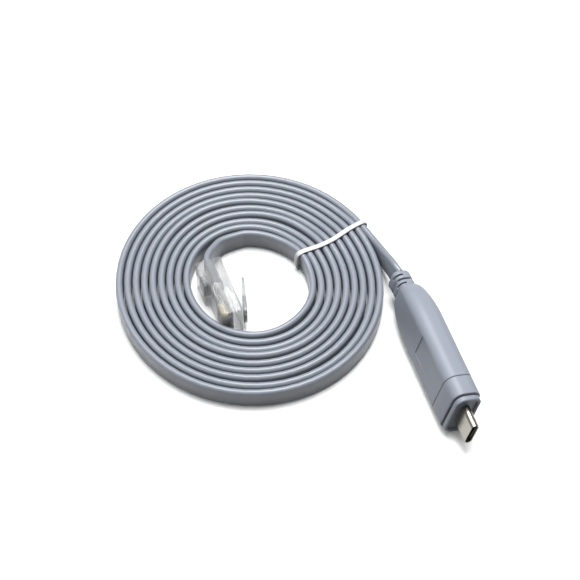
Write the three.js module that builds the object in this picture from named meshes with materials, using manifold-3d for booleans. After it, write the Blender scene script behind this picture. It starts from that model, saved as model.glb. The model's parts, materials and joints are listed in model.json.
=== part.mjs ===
// Console cable: a flat cable wound on edge and tied, with a USB-C connector at its
// outer end and a clear 8P8C modular plug at its inner end.
// Millimetres, +Z up, resting on the plane z = 0.
import * as THREE from 'three';
import * as BufferGeometryUtils from 'three/addons/utils/BufferGeometryUtils.js';
import Module from 'manifold-3d';

const wasm = await Module();
wasm.setup();

// Clearances
const SEAT_GAP = 0.3;            // between pieces that touch
const WIRE_GAP = 0.2;            // round a conductor in its channel
const BLADE_GAP = 0.1;           // round a blade in its slot
const LINER_GAP = 0.05;          // between the liner and the shell

// Flat cable
const CABLE_WIDTH = 7.0;         // stands upright in the coil
const CABLE_THICKNESS = 2.3;
const CABLE_CORNER = 1.0;

// Coil of cable
const COIL_OUTER_RADIUS = 41.0;
const COIL_TURNS = 8;
const TURN_PITCH = 2.57;
const TURN_EDGE = 0.5;           // rounding that opens a groove between two turns
const COIL_SEGMENTS = 48;
const COIL_BORE_RADIUS = COIL_OUTER_RADIUS - COIL_TURNS * TURN_PITCH;

// Free stretches of the cable, as angles about the coil's axis
const OUTER_LEAD_START = 108;    // leaves the coil behind the tie
const INNER_LEAD_START = 100;    // meets the bore's wall
const INNER_LEAD_END = -72;      // and lies against it up to here

// Twist tie
const TIE_ANGLE = 31;
const TIE_BREADTH = 1.4;
const TIE_THICKNESS = 0.5;
const TIE_TAIL_RADIUS = 0.7;
const TIE_TAIL_LENGTH = 10;
const TIE_CHANNEL_DEPTH = TIE_THICKNESS + SEAT_GAP;

// USB-C connector, measured along its own axis from the rear of the strain relief
const HOUSING_REAR = new THREE.Vector3(46.03, -0.32, 0);   // from the coil's axis
const HOUSING_HEADING = -71.9;
const HOUSING_ROLL = -14;
const RELIEF_LENGTH = 6.3;
const RELIEF_WIDTH = 7.8;
const RELIEF_THICKNESS = 5.8;
const RELIEF_CORNER = 1.85;
const RELIEF_RINGS = 4;
const BODY_LENGTH = 37.6;        // from the relief to the cap's seam
const BODY_WIDTH = 16.5;
const BODY_THICKNESS = 9.2;
const BODY_CORNER = 3.4;
const BODY_RINGS = 16;
const SHOULDER_LENGTH = 15;      // over which the body swells from the relief
const SHOULDER_FULLNESS = 0.5;   // the lower, the sooner it swells
const SLIT_BREADTH = 0.6;
const SLIT_DEPTH = 1.0;
// Slits over the relief's corners: place, the way they face and half their length
const SLITS = [
  { at: 2.0, facing: 128, reach: 2.0 },
  { at: 3.6, facing: 105, reach: 2.6 },
  { at: 5.2, facing: 128, reach: 2.0 },
];
const CAP_LENGTH = 6.2;
const CAP_WALL = 1.5;
const NOSE_INSET = 0.55;         // the nose piece stands inside the cap's outline
const NOSE_PROUD = 2.0;          // and in front of it
const NOSE_RIM = 1.0;
const NOSE_RECESS = 0.7;
const NOSE_DEPTH = 4.0;          // part of the nose piece inside the cap
const NOSE_WEB = 0.2;            // of the flange between the sunk face and the shank
const SHELL_WIDTH = 8.34;
const SHELL_THICKNESS = 2.56;
const SHELL_WALL = 0.3;
const SHELL_EXPOSED = 6.65;
const SHELL_DEPTH = 4.5;         // part of the shell inside the nose piece
const LINER_WALL = 0.35;
const LINER_SETBACK = 0.8;
const LINER_SLOT_DEPTH = 5.2;

// 8P8C modular plug, measured along its own axis from its rear face
const PLUG_REAR = new THREE.Vector3(-12.25, 4.0, 0);       // from the coil's axis
const PLUG_HEADING = -69.6;
const PLUG_LENGTH = 21.5;
const PLUG_WIDTH = 11.68;        // upright, because the plug lies on its narrow side
const PLUG_THICKNESS = 8.0;
const PLUG_NOSE_STEP = 1.4;      // the contact face is set back over the front part
const PLUG_STEP_AT = 8.0;
const PLUG_NOSE_EDGE = 0.8;
const CONTACT_COUNT = 8;
const CONTACT_PITCH = 1.02;
const BLADE_THICKNESS = 0.35;
const BLADE_LENGTH = 5.0;
const BLADE_SETBACK = 0.3;       // below the contact face and behind the nose
const CONDUCTOR_DIAMETER = 0.9;
const CONDUCTOR_OFFSET = 0.5;    // from the middle plane towards the latch
const JACKET_DEPTH = 9.5;        // cable inside the plug
const CRIMP_WINDOW_LENGTH = 4.0;
const CRIMP_WINDOW_WIDTH = 5.2;
const CRIMP_WINDOW_AT = 3.2;
const CRIMP_WINDOW_FLOOR = 0.6;  // between the window and the cable's entry
const LATCH_LENGTH = 14.2;
const LATCH_THICKNESS = 1.3;
const LATCH_CORNER = 0.3;
const LATCH_LEVER_WIDTH = 3.4;
const LATCH_ROOT_WIDTH = 6.2;
const LATCH_ROOT_LENGTH = 5.6;
const LATCH_ANGLE = 15.8;
const LATCH_ROOT_SETBACK = 1.2;  // from the plug's nose

// Stations of the USB-C connector
const SEAM_AT = RELIEF_LENGTH + BODY_LENGTH;
const CAP_FRONT = SEAM_AT + SEAT_GAP + CAP_LENGTH;
const NOSE_FRONT = CAP_FRONT + NOSE_PROUD;
const SHELL_FRONT = NOSE_FRONT + SHELL_EXPOSED;
const NOSE_WIDTH = BODY_WIDTH - 2 * NOSE_INSET;
const NOSE_THICKNESS = BODY_THICKNESS - 2 * NOSE_INSET;

// Lines of the modular plug
const PLUG_MIDDLE = PLUG_WIDTH / 2;
const CONTACT_FACE = -PLUG_THICKNESS / 2 + PLUG_NOSE_STEP;
const BLADE_FRONT = PLUG_LENGTH - PLUG_NOSE_EDGE;
const BLADE_ROOT = CONDUCTOR_OFFSET - CONDUCTOR_DIAMETER / 2 - BLADE_GAP;

const plastic = (color, roughness) => new THREE.MeshStandardMaterial({ color, roughness, metalness: 0 });
const metal = (color) => new THREE.MeshStandardMaterial({ color, roughness: 0.3, metalness: 1 });
const cablePlastic = () => plastic(0xaab2be, 0.5);
const housingPlastic = () => plastic(0xa6adba, 0.55);
const nosePlastic = () => plastic(0x9aa2ae, 0.55);
const whitePlastic = () => plastic(0xe4e6e8, 0.45);
const blackPlastic = () => plastic(0x101114, 0.6);
const wirePlastic = () => plastic(0xb9a58a, 0.5);
const nickel = () => metal(0xbbb9ad);
const gold = () => metal(0xc9a24a);
const clearPlastic = () => new THREE.MeshStandardMaterial({
  color: 0xdfe3e6, roughness: 0.08, metalness: 0, transparent: true, opacity: 0.35,
});

const radians = THREE.MathUtils.degToRad;

function toSolid(geometry) {
  const bare = geometry.clone();
  bare.deleteAttribute('normal');
  bare.deleteAttribute('uv');
  const merged = BufferGeometryUtils.mergeVertices(bare, 1e-4);
  return new wasm.Manifold(new wasm.Mesh({
    numProp: 3,
    vertProperties: new Float32Array(merged.attributes.position.array),
    triVerts: new Uint32Array(merged.index.array),
  }));
}

function toGeometry(solid) {
  const mesh = solid.getMesh();
  const geometry = new THREE.BufferGeometry();
  geometry.setAttribute('position', new THREE.BufferAttribute(new Float32Array(mesh.vertProperties), 3));
  geometry.setIndex(new THREE.BufferAttribute(new Uint32Array(mesh.triVerts), 1));
  geometry.computeVertexNormals();
  return geometry;
}

function cut(geometry, ...tools) {
  return toGeometry(tools.reduce((solid, tool) => solid.subtract(toSolid(tool)), toSolid(geometry)));
}

function join(geometry, ...others) {
  return toGeometry(others.reduce((solid, other) => solid.add(toSolid(other)), toSolid(geometry)));
}

function boxBetween(low, high) {
  const size = high.map((value, axis) => value - low[axis]);
  const middle = high.map((value, axis) => (value + low[axis]) / 2);
  return new THREE.BoxGeometry(...size).translate(...middle);
}

function named(name, geometry, material) {
  const mesh = new THREE.Mesh(geometry, material);
  mesh.name = name;
  return mesh;
}

// A rounded rectangle about the origin, breadth along x and height along y.
function roundedOutline(Kind, breadth, height, corner) {
  const x = breadth / 2;
  const y = height / 2;
  const r = Math.min(corner, x, y);
  const outline = new Kind();
  outline.moveTo(x, -y + r);
  outline.lineTo(x, y - r);
  outline.absarc(x - r, y - r, r, 0, Math.PI / 2, false);
  outline.lineTo(-x + r, y);
  outline.absarc(-x + r, y - r, r, Math.PI / 2, Math.PI, false);
  outline.lineTo(-x, -y + r);
  outline.absarc(-x + r, -y + r, r, Math.PI, 1.5 * Math.PI, false);
  outline.lineTo(x - r, -y);
  outline.absarc(x - r, -y + r, r, 1.5 * Math.PI, 2 * Math.PI, false);
  return outline;
}

// A bar along +x from one station to another: thickness along y, width along z.
function roundedBar(from, to, thickness, width, corner, { hole = null, steps = 1, segments = 4 } = {}) {
  const outline = roundedOutline(THREE.Shape, thickness, width, corner);
  if (hole) outline.holes.push(roundedOutline(THREE.Path, hole.thickness, hole.width, hole.corner));
  const bar = new THREE.ExtrudeGeometry(outline, {
    depth: to - from, steps, bevelEnabled: false, curveSegments: segments,
  });
  bar.rotateX(Math.PI / 2).rotateZ(Math.PI / 2);
  return bar.translate(from, 0, 0);
}

// Points on a circle about the coil's axis, from one angle to another.
function arcPoints(radius, from, to, count, height) {
  return Array.from({ length: count }, (_, i) => {
    const angle = radians(from + ((to - from) * i) / (count - 1));
    return new THREE.Vector3(radius * Math.cos(angle), radius * Math.sin(angle), height);
  });
}

// A route that keeps the flat cable on edge: the section's width stays upright.
class UprightRoute extends THREE.CatmullRomCurve3 {
  computeFrenetFrames(segments) {
    const up = new THREE.Vector3(0, 0, 1);
    const tangents = Array.from({ length: segments + 1 }, (_, i) => this.getTangentAt(i / segments));
    const normals = tangents.map((t) => up.clone().addScaledVector(t, -t.z).normalize());
    const binormals = tangents.map((t, i) => t.clone().cross(normals[i]));
    return { tangents, normals, binormals };
  }
}

function cableAlong(points, steps) {
  const section = roundedOutline(THREE.Shape, CABLE_WIDTH, CABLE_THICKNESS, CABLE_CORNER);
  return new THREE.ExtrudeGeometry(section, {
    extrudePath: new UprightRoute(points, false, 'centripetal'),
    steps,
    bevelEnabled: false,
    curveSegments: 2,
  });
}

// The channel under the tie, cut from whatever the tie passes below.
function tieChannel() {
  const half = TIE_BREADTH / 2 + SEAT_GAP;
  const channel = boxBetween([0, -half, -1], [COIL_OUTER_RADIUS + 2 * TURN_PITCH, half, TIE_CHANNEL_DEPTH]);
  return channel.rotateZ(radians(TIE_ANGLE));
}

// The wound turns as one turned ring, each turn a rounded ridge on both end faces.
function coilOfCable() {
  const top = [];
  for (let turn = 0; turn < COIL_TURNS; turn += 1) {
    const inner = COIL_BORE_RADIUS + turn * TURN_PITCH;
    const outer = inner + TURN_PITCH;
    top.push([inner, CABLE_WIDTH - TURN_EDGE], [inner + TURN_EDGE, CABLE_WIDTH]);
    top.push([outer - TURN_EDGE, CABLE_WIDTH]);
  }
  top.push([COIL_OUTER_RADIUS, CABLE_WIDTH - TURN_EDGE]);
  const bottom = top.map(([radius, height]) => [radius, CABLE_WIDTH - height]).reverse();
  const profile = [...bottom, ...top].map(([radius, height]) => new THREE.Vector2(radius, height)).reverse();
  profile.push(profile[0].clone());
  const ring = new THREE.LatheGeometry(profile, COIL_SEGMENTS);
  ring.rotateX(Math.PI / 2);
  return cut(ring, tieChannel());
}

const connectors = new THREE.Group();
const cable = new THREE.Group();

function alongHeading(origin, heading, distance, side = 0, height = 0) {
  const angle = radians(heading);
  return new THREE.Vector3(
    origin.x + distance * Math.cos(angle) - side * Math.sin(angle),
    origin.y + distance * Math.sin(angle) + side * Math.cos(angle),
    height,
  );
}

// The tilted body rests on its lower edge.
function restHeight(width, thickness, corner, roll) {
  const tilt = Math.abs(radians(roll));
  return (width / 2 - corner) * Math.cos(tilt) + (thickness / 2 - corner) * Math.sin(tilt) + corner;
}
const HOUSING_HEIGHT = restHeight(BODY_WIDTH, BODY_THICKNESS, BODY_CORNER, HOUSING_ROLL);

// From the coil's back, under the tie and up to the strain relief.
function outerLead() {
  const radius = COIL_OUTER_RADIUS + SEAT_GAP + CABLE_THICKNESS / 2;
  const level = CABLE_WIDTH / 2;
  const wound = arcPoints(radius, OUTER_LEAD_START, TIE_ANGLE - 2, 9, level);
  const free = [
    new THREE.Vector3(40.2, 14.6, 4.4),
    new THREE.Vector3(43.0, 7.6, 6.7),
    alongHeading(HOUSING_REAR, HOUSING_HEADING, -3.5, 0, HOUSING_HEIGHT),
    alongHeading(HOUSING_REAR, HOUSING_HEADING, -SEAT_GAP, 0, HOUSING_HEIGHT),
  ];
  return cut(cableAlong([...wound, ...free], 26), tieChannel());
}

// Out of the modular plug and round the bore's wall, past the tie.
function innerLead() {
  const radius = COIL_BORE_RADIUS - SEAT_GAP - CABLE_THICKNESS / 2;
  const level = CABLE_WIDTH / 2;
  const raised = PLUG_WIDTH / 2;
  const inPlug = [JACKET_DEPTH, JACKET_DEPTH / 2, 0, -2.5]
    .map((distance) => alongHeading(PLUG_REAR, PLUG_HEADING, distance, CONDUCTOR_OFFSET, raised));
  const free = [
    new THREE.Vector3(-13.6, 10.2, 5.3),
    new THREE.Vector3(-10.6, 14.2, 4.4),
  ];
  const wound = arcPoints(radius, INNER_LEAD_START, INNER_LEAD_END, 14, level);
  return cut(cableAlong([...inPlug, ...free, ...wound], 34), tieChannel());
}

cable.add(named('cable_coil', coilOfCable(), cablePlastic()));
cable.add(named('cable_outer_lead', outerLead(), cablePlastic()));
cable.add(named('cable_inner_lead', innerLead(), cablePlastic()));

// A flat plastic-covered wire once round every layer, its ends twisted into a tail.
function twistTie() {
  const inner = COIL_BORE_RADIUS - 2 * SEAT_GAP - CABLE_THICKNESS;
  const outer = COIL_OUTER_RADIUS + 2 * SEAT_GAP + CABLE_THICKNESS;
  const height = CABLE_WIDTH + SEAT_GAP - TIE_THICKNESS;
  const length = outer - inner;
  const wall = 2 * TIE_THICKNESS;
  const loop = roundedOutline(THREE.Shape, length + wall, height + wall, wall);
  loop.holes.push(roundedOutline(THREE.Path, length, height, TIE_THICKNESS));
  const band = new THREE.ExtrudeGeometry(loop, { depth: TIE_BREADTH, bevelEnabled: false, curveSegments: 3 });
  band.translate((inner + outer) / 2, height / 2 + TIE_THICKNESS, -TIE_BREADTH / 2);
  band.rotateX(Math.PI / 2);
  const tail = new THREE.CylinderGeometry(TIE_TAIL_RADIUS, TIE_TAIL_RADIUS, TIE_TAIL_LENGTH, 8);
  tail.translate(outer + TIE_TAIL_RADIUS, TIE_TAIL_LENGTH / 2 - TIE_BREADTH / 2, 2 * TIE_TAIL_RADIUS);
  return join(band, tail).rotateZ(radians(TIE_ANGLE));
}
connectors.add(named('twist_tie', twistTie(), whitePlastic()));

const usb = new THREE.Group();
usb.position.set(HOUSING_REAR.x, HOUSING_REAR.y, HOUSING_HEIGHT);
usb.rotation.set(radians(HOUSING_ROLL), 0, radians(HOUSING_HEADING), 'ZYX');
connectors.add(usb);

// Share of the body's full section at a distance from the relief's rear.
function bodySwell(distance) {
  const t = THREE.MathUtils.clamp((distance - RELIEF_LENGTH) / SHOULDER_LENGTH, 0, 1);
  return Math.sin((t * Math.PI) / 2) ** SHOULDER_FULLNESS;
}

// Even rings along the relief, then closer ones where the body swells fastest.
function ringStation(share) {
  const ring = share * (RELIEF_RINGS + BODY_RINGS);
  if (ring < RELIEF_RINGS) return (RELIEF_LENGTH * ring) / RELIEF_RINGS;
  return RELIEF_LENGTH + BODY_LENGTH * ((ring - RELIEF_RINGS) / BODY_RINGS) ** 1.6;
}

// The overmoulded body and its strain relief, one moulding with staggered slits.
function housingBody() {
  const bar = roundedBar(0, SEAM_AT, BODY_THICKNESS, BODY_WIDTH, BODY_CORNER, {
    steps: RELIEF_RINGS + BODY_RINGS,
  });
  const position = bar.attributes.position;
  const thick = RELIEF_THICKNESS / BODY_THICKNESS;
  const wide = RELIEF_WIDTH / BODY_WIDTH;
  for (let i = 0; i < position.count; i += 1) {
    const station = ringStation(position.getX(i) / SEAM_AT);
    const swell = bodySwell(station);
    position.setX(i, station);
    position.setY(i, position.getY(i) * (thick + (1 - thick) * swell));
    position.setZ(i, position.getZ(i) * (wide + (1 - wide) * swell));
  }
  return cut(bar, ...SLITS.map((slit) => reliefSlit(slit, 0)), ...SLITS.map((slit) => reliefSlit(slit, 180)));
}

// A slit square to the relief's corner, on one side or the other.
function reliefSlit({ at, facing, reach }, side) {
  const angle = radians(facing);
  const surface = (RELIEF_THICKNESS / 2 - RELIEF_CORNER) * Math.abs(Math.cos(angle))
    + (RELIEF_WIDTH / 2 - RELIEF_CORNER) * Math.sin(angle) + RELIEF_CORNER;
  const slit = boxBetween([at - SLIT_BREADTH / 2, surface - SLIT_DEPTH, -reach],
    [at + SLIT_BREADTH / 2, surface + 1, reach]);
  return slit.rotateX(radians(facing + side));
}

// The front cap is a sleeve that holds the nose piece.
function frontCap() {
  const sleeve = roundedBar(SEAM_AT + SEAT_GAP, CAP_FRONT, BODY_THICKNESS, BODY_WIDTH, BODY_CORNER);
  const bore = roundedBar(CAP_FRONT - NOSE_DEPTH - SEAT_GAP, CAP_FRONT + 1,
    BODY_THICKNESS - 2 * CAP_WALL, BODY_WIDTH - 2 * CAP_WALL, BODY_CORNER - CAP_WALL);
  return cut(sleeve, bore);
}

// The nose piece has a raised rim round a sunk face, and the shell stands in its pocket.
function nosePiece() {
  const flange = roundedBar(CAP_FRONT + SEAT_GAP, NOSE_FRONT, NOSE_THICKNESS, NOSE_WIDTH,
    BODY_CORNER - NOSE_INSET);
  const inset = CAP_WALL + SEAT_GAP;
  const shank = roundedBar(CAP_FRONT - NOSE_DEPTH, NOSE_FRONT - NOSE_RECESS - NOSE_WEB,
    BODY_THICKNESS - 2 * inset, BODY_WIDTH - 2 * inset, BODY_CORNER - inset);
  const recess = roundedBar(NOSE_FRONT - NOSE_RECESS, NOSE_FRONT + 1,
    NOSE_THICKNESS - 2 * NOSE_RIM, NOSE_WIDTH - 2 * NOSE_RIM, BODY_CORNER - NOSE_INSET - NOSE_RIM);
  const pocket = roundedBar(NOSE_FRONT - SHELL_DEPTH - SEAT_GAP, NOSE_FRONT + 1,
    SHELL_THICKNESS + 2 * SEAT_GAP, SHELL_WIDTH + 2 * SEAT_GAP, SHELL_THICKNESS / 2 + SEAT_GAP);
  return cut(join(flange, shank), recess, pocket);
}

function usbShell() {
  const corner = SHELL_THICKNESS / 2;
  return roundedBar(NOSE_FRONT - SHELL_DEPTH, SHELL_FRONT, SHELL_THICKNESS, SHELL_WIDTH, corner, {
    hole: {
      thickness: SHELL_THICKNESS - 2 * SHELL_WALL,
      width: SHELL_WIDTH - 2 * SHELL_WALL,
      corner: corner - SHELL_WALL,
    },
    segments: 6,
  });
}

// The black liner inside the shell, with the slot that a receptacle's tongue enters.
function shellLiner() {
  const thickness = SHELL_THICKNESS - 2 * (SHELL_WALL + LINER_GAP);
  const width = SHELL_WIDTH - 2 * (SHELL_WALL + LINER_GAP);
  const front = SHELL_FRONT - LINER_SETBACK;
  const liner = roundedBar(NOSE_FRONT - SHELL_DEPTH, front, thickness, width, thickness / 2);
  const slot = roundedBar(front - LINER_SLOT_DEPTH, front + 1, thickness - 2 * LINER_WALL,
    width - 2 * LINER_WALL, thickness / 2 - LINER_WALL);
  return cut(liner, slot);
}

usb.add(named('usb_housing', housingBody(), housingPlastic()));
usb.add(named('usb_front_cap', frontCap(), housingPlastic()));
usb.add(named('usb_nose_piece', nosePiece(), nosePlastic()));
usb.add(named('usb_c_shell', usbShell(), nickel()));
usb.add(named('usb_c_liner', shellLiner(), blackPlastic()));

const plug = new THREE.Group();
plug.position.copy(PLUG_REAR);
plug.rotation.z = radians(PLUG_HEADING);
connectors.add(plug);

const contactHeight = (i) => PLUG_MIDDLE + (i - (CONTACT_COUNT - 1) / 2) * CONTACT_PITCH;

function plugBody() {
  const back = PLUG_THICKNESS / 2;
  const edge = PLUG_NOSE_EDGE;
  const outline = new THREE.Shape([
    [0, -back], [PLUG_STEP_AT, -back], [PLUG_STEP_AT + PLUG_NOSE_STEP / 2, CONTACT_FACE],
    [PLUG_LENGTH - edge, CONTACT_FACE], [PLUG_LENGTH, CONTACT_FACE + edge],
    [PLUG_LENGTH, back - edge], [PLUG_LENGTH - edge, back], [0, back],
  ].map(([x, y]) => new THREE.Vector2(x, y)));
  const block = new THREE.ExtrudeGeometry(outline, { depth: PLUG_WIDTH, bevelEnabled: false });
  const entryHalf = CABLE_THICKNESS / 2 + SEAT_GAP;
  const entry = boxBetween(
    [-1, CONDUCTOR_OFFSET - entryHalf, PLUG_MIDDLE - CABLE_WIDTH / 2 - SEAT_GAP],
    [JACKET_DEPTH + SEAT_GAP, CONDUCTOR_OFFSET + entryHalf, PLUG_MIDDLE + CABLE_WIDTH / 2 + SEAT_GAP]);
  const channelDepth = CONDUCTOR_DIAMETER / 2 + WIRE_GAP;
  const channelReach = (CONTACT_COUNT * CONTACT_PITCH) / 2 + WIRE_GAP;
  const channel = boxBetween(
    [JACKET_DEPTH, CONDUCTOR_OFFSET - channelDepth, PLUG_MIDDLE - channelReach],
    [BLADE_FRONT - BLADE_SETBACK, CONDUCTOR_OFFSET + channelDepth, PLUG_MIDDLE + channelReach]);
  const window = boxBetween(
    [CRIMP_WINDOW_AT, -back - 1, PLUG_MIDDLE - CRIMP_WINDOW_WIDTH / 2],
    [CRIMP_WINDOW_AT + CRIMP_WINDOW_LENGTH, CONDUCTOR_OFFSET - entryHalf - CRIMP_WINDOW_FLOOR,
      PLUG_MIDDLE + CRIMP_WINDOW_WIDTH / 2]);
  return cut(block, entry, channel, window, ...bladeSlots());
}

function bladeSlots() {
  const half = BLADE_THICKNESS / 2 + BLADE_GAP;
  return Array.from({ length: CONTACT_COUNT }, (_, i) => boxBetween(
    [BLADE_FRONT - BLADE_LENGTH - SEAT_GAP, CONTACT_FACE - 1, contactHeight(i) - half],
    [PLUG_LENGTH + 1, CONDUCTOR_OFFSET, contactHeight(i) + half]));
}

function contactBlade(i) {
  return boxBetween(
    [BLADE_FRONT - BLADE_LENGTH, CONTACT_FACE + BLADE_SETBACK, contactHeight(i) - BLADE_THICKNESS / 2],
    [BLADE_FRONT, BLADE_ROOT, contactHeight(i) + BLADE_THICKNESS / 2]);
}

function conductor(i) {
  const from = JACKET_DEPTH + SEAT_GAP;
  const to = BLADE_FRONT - BLADE_SETBACK - SEAT_GAP;
  const wire = new THREE.CylinderGeometry(CONDUCTOR_DIAMETER / 2, CONDUCTOR_DIAMETER / 2, to - from, 8);
  return wire.rotateZ(Math.PI / 2).translate((from + to) / 2, CONDUCTOR_OFFSET, contactHeight(i));
}

// The latch springs away from the plug; its root is narrow enough to flex at the nose.
function latch() {
  const half = LATCH_THICKNESS / 2;
  const lever = roundedBar(-LATCH_LENGTH, half, LATCH_THICKNESS, LATCH_LEVER_WIDTH, LATCH_CORNER);
  const root = roundedBar(-LATCH_ROOT_LENGTH, half, LATCH_THICKNESS, LATCH_ROOT_WIDTH, LATCH_CORNER);
  return join(lever, root);
}

plug.add(named('plug_body', plugBody(), clearPlastic()));
for (let i = 0; i < CONTACT_COUNT; i += 1) {
  plug.add(named(`contact_blade_${i + 1}`, contactBlade(i), gold()));
  plug.add(named(`conductor_${i + 1}`, conductor(i), wirePlastic()));
}
const latchMesh = named('plug_latch', latch(), clearPlastic());
latchMesh.position.set(
  PLUG_LENGTH - LATCH_ROOT_SETBACK, PLUG_THICKNESS / 2 + SEAT_GAP + LATCH_THICKNESS / 2, PLUG_MIDDLE);
latchMesh.rotation.z = -radians(LATCH_ANGLE);
plug.add(latchMesh);

// The origin lies on the resting plane, under the middle of the box round the
// connectors and the tie.
connectors.updateMatrixWorld(true);
const box = new THREE.Box3().setFromObject(connectors, true);
const group = new THREE.Group();
group.add(connectors, cable);
group.position.set(-(box.min.x + box.max.x) / 2, -(box.min.y + box.max.y) / 2, -box.min.z);

export default group;
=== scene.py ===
import json
import math

import bmesh
import bpy
from mathutils import Matrix, Vector


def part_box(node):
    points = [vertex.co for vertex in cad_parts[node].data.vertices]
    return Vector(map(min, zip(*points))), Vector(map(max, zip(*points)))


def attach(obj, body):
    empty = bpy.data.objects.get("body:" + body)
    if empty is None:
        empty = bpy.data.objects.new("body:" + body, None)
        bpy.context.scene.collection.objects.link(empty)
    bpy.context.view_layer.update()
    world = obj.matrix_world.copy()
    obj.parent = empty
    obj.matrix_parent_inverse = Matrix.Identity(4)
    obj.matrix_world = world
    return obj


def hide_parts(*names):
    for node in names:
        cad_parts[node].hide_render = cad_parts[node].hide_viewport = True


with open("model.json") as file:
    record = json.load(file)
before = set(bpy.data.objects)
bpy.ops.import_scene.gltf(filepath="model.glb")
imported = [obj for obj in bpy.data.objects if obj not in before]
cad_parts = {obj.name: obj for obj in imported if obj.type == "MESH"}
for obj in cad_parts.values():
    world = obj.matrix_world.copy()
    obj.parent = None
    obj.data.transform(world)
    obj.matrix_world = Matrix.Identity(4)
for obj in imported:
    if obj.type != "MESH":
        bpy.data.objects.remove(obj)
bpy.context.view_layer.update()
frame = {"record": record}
SCENE = bpy.context.scene

# Real sizes in millimetres
CABLE_WIDTH = 7.0
CABLE_THICKNESS = 2.12
CABLE_CORNER = 1.04
TIE_ANGLE = 31
TIE_BREADTH = 1.6
TIE_THICKNESS = 0.55
SEAT_GAP = 0.3

HOUSING_HEADING = -71.9
HOUSING_ROLL = -14
RELIEF_LENGTH = 6.3
RELIEF_WIDTH = 7.8
RELIEF_THICKNESS = 5.8
RELIEF_CORNER = 2.2
BODY_LENGTH = 37.6
BODY_WIDTH = 16.5
BODY_THICKNESS = 9.2
BODY_CORNER = 3.4
SHOULDER_LENGTH = 15
SLIT_BREADTH = 0.65
SLIT_DEPTH = 1.3
# Slits over the relief's corners: place, the way they face and half their length
SLITS = ((2.0, 128, 2.0), (3.6, 105, 2.6), (5.2, 128, 2.0))
CAP_LENGTH = 6.2
NOSE_INSET = 0.55
NOSE_PROUD = 2.0
NOSE_RIM = 1.0
NOSE_RECESS = 0.7
SHELL_WIDTH = 8.34
SHELL_THICKNESS = 2.56
SHELL_WALL = 0.3
SHELL_EXPOSED = 6.65
SHELL_DEPTH = 4.5
LINER_SETBACK = 0.8
LINER_SLOT_DEPTH = 5.2
LINER_WALL = 0.35
LINER_GAP = 0.05

PLUG_HEADING = -69.6
PLUG_LENGTH = 21.5
PLUG_WIDTH = 11.68
PLUG_THICKNESS = 8.0
PLUG_NOSE_STEP = 1.4
PLUG_STEP_AT = 8.0
PLUG_NOSE_EDGE = 0.8
CONTACT_COUNT = 8
CONTACT_PITCH = 1.02
BLADE_THICKNESS = 0.35
BLADE_LENGTH = 5.0
BLADE_SETBACK = 0.3
BLADE_GAP = 0.1
CONDUCTOR_DIAMETER = 0.9
CONDUCTOR_OFFSET = 0.5
JACKET_DEPTH = 9.5
LATCH_LENGTH = 14.2
LATCH_THICKNESS = 1.3
LATCH_LEVER_WIDTH = 3.4
LATCH_ROOT_WIDTH = 6.2
LATCH_ROOT_LENGTH = 5.6
LATCH_ANGLE = 15.8

SEAM_AT = RELIEF_LENGTH + BODY_LENGTH
CAP_FRONT = SEAM_AT + SEAT_GAP + CAP_LENGTH
NOSE_FRONT = CAP_FRONT + NOSE_PROUD
SHELL_FRONT = NOSE_FRONT + SHELL_EXPOSED

TO_METRES = Matrix.Scale(0.001, 4)


def middle_of(*nodes):
    """The middle of several nodes' middles, in millimetres."""
    middles = [sum(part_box(node), Vector()) / 2 for node in nodes]
    return sum(middles, Vector()) * 1000 / len(middles)


def turn_about(heading, roll=0):
    return Matrix.Rotation(math.radians(heading), 4, "Z") @ Matrix.Rotation(math.radians(roll), 4, "X")


# Frames of the coil and the two connectors: millimetres along each part's own axis
COIL_CENTRE = middle_of("cable_coil")
COIL_CENTRE.z = 0
SHELL_MIDDLE = NOSE_FRONT + (SHELL_EXPOSED - SHELL_DEPTH) / 2
USB_TURN = turn_about(HOUSING_HEADING, HOUSING_ROLL)
USB = Matrix.Translation(middle_of("usb_c_shell")) @ USB_TURN @ Matrix.Translation((-SHELL_MIDDLE, 0, 0))
CONDUCTOR_MIDDLE = (JACKET_DEPTH + PLUG_LENGTH - PLUG_NOSE_EDGE - BLADE_SETBACK) / 2
WIRES = [f"conductor_{i + 1}" for i in range(CONTACT_COUNT)]
PLUG_TURN = turn_about(PLUG_HEADING)
PLUG = (Matrix.Translation(middle_of(*WIRES)) @ PLUG_TURN
        @ Matrix.Translation((-CONDUCTOR_MIDDLE, -CONDUCTOR_OFFSET, -PLUG_WIDTH / 2)))

# Camera: the photograph's angle and distance, aimed so that the coil falls where it does there
VIEW_ELEVATION = 53
VIEW_DISTANCE = 488
VIEW_FOCAL = 97.8
VIEW_SENSOR = 36
VIEW_NEAREST = 0.01
SPIRAL_CENTRE = COIL_CENTRE + Vector((1.4, 1.2, 0))
AIM = SPIRAL_CENTRE + Vector((11.46, 0, 0))


def add_camera():
    data = bpy.data.cameras.new("camera")
    data.lens = VIEW_FOCAL
    data.sensor_width = VIEW_SENSOR
    data.clip_start = VIEW_NEAREST
    tilt = math.radians(VIEW_ELEVATION)
    camera = bpy.data.objects.new("camera", data)
    camera.location = (AIM + VIEW_DISTANCE * Vector((0, -math.cos(tilt), math.sin(tilt)))) / 1000
    camera.rotation_euler = (math.pi / 2 - tilt, 0, 0)
    SCENE.collection.objects.link(camera)
    SCENE.camera = camera


add_camera()


class Value:
    """A shader socket that can be written in sums."""

    def __init__(self, finish, socket):
        self.finish = finish
        self.socket = socket

    def _math(self, operation, first, second):
        return self.finish.node("Math", {"operation": operation}, {0: first, 1: second})

    def __add__(self, other):
        return self._math("ADD", self, other)

    def __radd__(self, other):
        return self._math("ADD", other, self)

    def __mul__(self, other):
        return self._math("MULTIPLY", self, other)

    def __rmul__(self, other):
        return self._math("MULTIPLY", other, self)


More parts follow.
